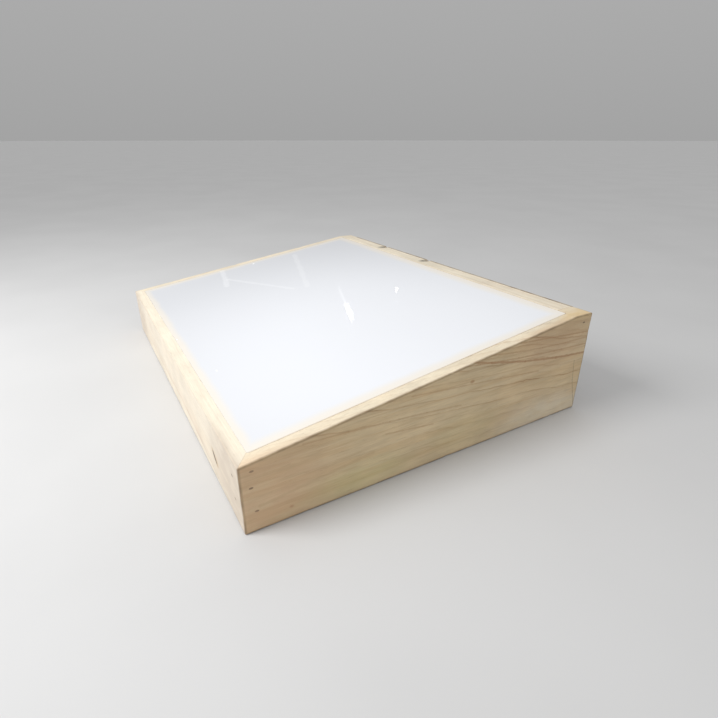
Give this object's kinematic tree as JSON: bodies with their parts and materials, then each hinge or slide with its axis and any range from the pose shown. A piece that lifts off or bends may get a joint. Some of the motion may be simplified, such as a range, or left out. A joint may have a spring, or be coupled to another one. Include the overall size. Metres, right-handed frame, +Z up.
{
  "type": "light box",
  "caption": "Sloping wooden tracing light box: a nailed wedge-shaped frame with an opal acrylic working face, tubes, reflector, ballast, mains inlet and rocker switch.",
  "frame": {"origin": "bottom centre of the wooden box, on the surface it stands on", "axes": "+Z up, +Y towards the high rear edge, +X along the width, towards the right side board"},
  "size_m": [0.4, 0.3053, 0.089],
  "materials": {
    "pine": "planed and sanded softwood under a thin clear finish",
    "plywood": "sanded 6 mm plywood",
    "hardboard": "smooth brown hardboard",
    "opal_acrylic": "glossy opal white",
    "nail_steel": "dull bare steel, slightly rusted",
    "zinc_steel": "bright zinc plate",
    "tinned_copper": "tinned",
    "tray_white": "gloss white paint",
    "tube_glass": "smooth, coated white inside",
    "cap_aluminium": "satin",
    "brass": "bright",
    "holder_white": "moulded",
    "rotor_plastic": "moulded",
    "ballast_case": "satin white paint",
    "black_plastic": "moulded, fine texture",
    "rocker_plastic": "moulded, polished",
    "sleeve_plastic": "moulded vinyl",
    "lead_white": "smooth sheath",
    "lead_brown": "smooth sheath",
    "lead_blue": "smooth sheath",
    "lead_earth": "smooth sheath, green and yellow"
  },
  "bodies": {
    "box": {"front_board": "pine", "rear_board": "pine", "left_side_board": "pine", "right_side_board": "pine", "rear_cleat": "pine", "base_panel": "plywood", "rear_cover": "hardboard", "left_side_nails": "nail_steel", "right_side_nails": "nail_steel", "base_screws": "zinc_steel", "cleat_screws": "zinc_steel", "rear_cover_screws": "zinc_steel", "tray_screws": "zinc_steel", "lampholder_screws": "zinc_steel", "ballast_screws": "zinc_steel", "inlet_screws": "zinc_steel", "inlet_nuts": "zinc_steel", "earth_screw": "zinc_steel", "earth_tag": "tinned_copper", "reflector_tray": "tray_white", "inlet_blades": "brass", "switch_tabs": "brass", "lampholder_1_left": "holder_white", "lampholder_1_right": "holder_white", "lampholder_2_left": "holder_white", "lampholder_2_right": "holder_white", "ballast_case": "ballast_case", "ballast_cover": "ballast_case", "inlet_housing": "black_plastic", "switch_housing": "black_plastic", "push_on_terminals": "sleeve_plastic", "lamp_lead_1_left": "lead_white", "lamp_lead_1_right": "lead_white", "lamp_lead_2_left": "lead_white", "lamp_lead_2_right": "lead_white", "live_leads": "lead_brown", "neutral_lead": "lead_blue", "earth_lead": "lead_earth"},
    "diffuser": {"diffuser_panel": "opal_acrylic"},
    "rocker": {"switch_rocker": "rocker_plastic"},
    "lamp_1": {"lamp_1_glass": "tube_glass", "lamp_1_caps": "cap_aluminium", "lamp_1_pins": "brass", "rotor_1_left": "rotor_plastic", "rotor_1_right": "rotor_plastic"},
    "lamp_2": {"lamp_2_glass": "tube_glass", "lamp_2_caps": "cap_aluminium", "lamp_2_pins": "brass", "rotor_2_left": "rotor_plastic", "rotor_2_right": "rotor_plastic"}
  },
  "joints": [
    {"name": "diffuser_lift", "type": "slide", "parent": "box", "child": "diffuser", "axis": [0, -0.1382, 0.9904], "range_m": [0, 0.08]},
    {"name": "rocker_tip", "type": "hinge", "parent": "box", "child": "rocker", "pos_m": [0.07, 0.149, 0.042], "axis": [1, 0, 0], "range_deg": [0, 20]},
    {"name": "lamp_1_twist", "type": "hinge", "parent": "box", "child": "lamp_1", "pos_m": [0, -0.075, 0.025], "axis": [1, 0, 0], "range_deg": [0, 90]},
    {"name": "lamp_2_twist", "type": "hinge", "parent": "box", "child": "lamp_2", "pos_m": [0, 0.025, 0.025], "axis": [1, 0, 0], "range_deg": [0, 90]}
  ]
}
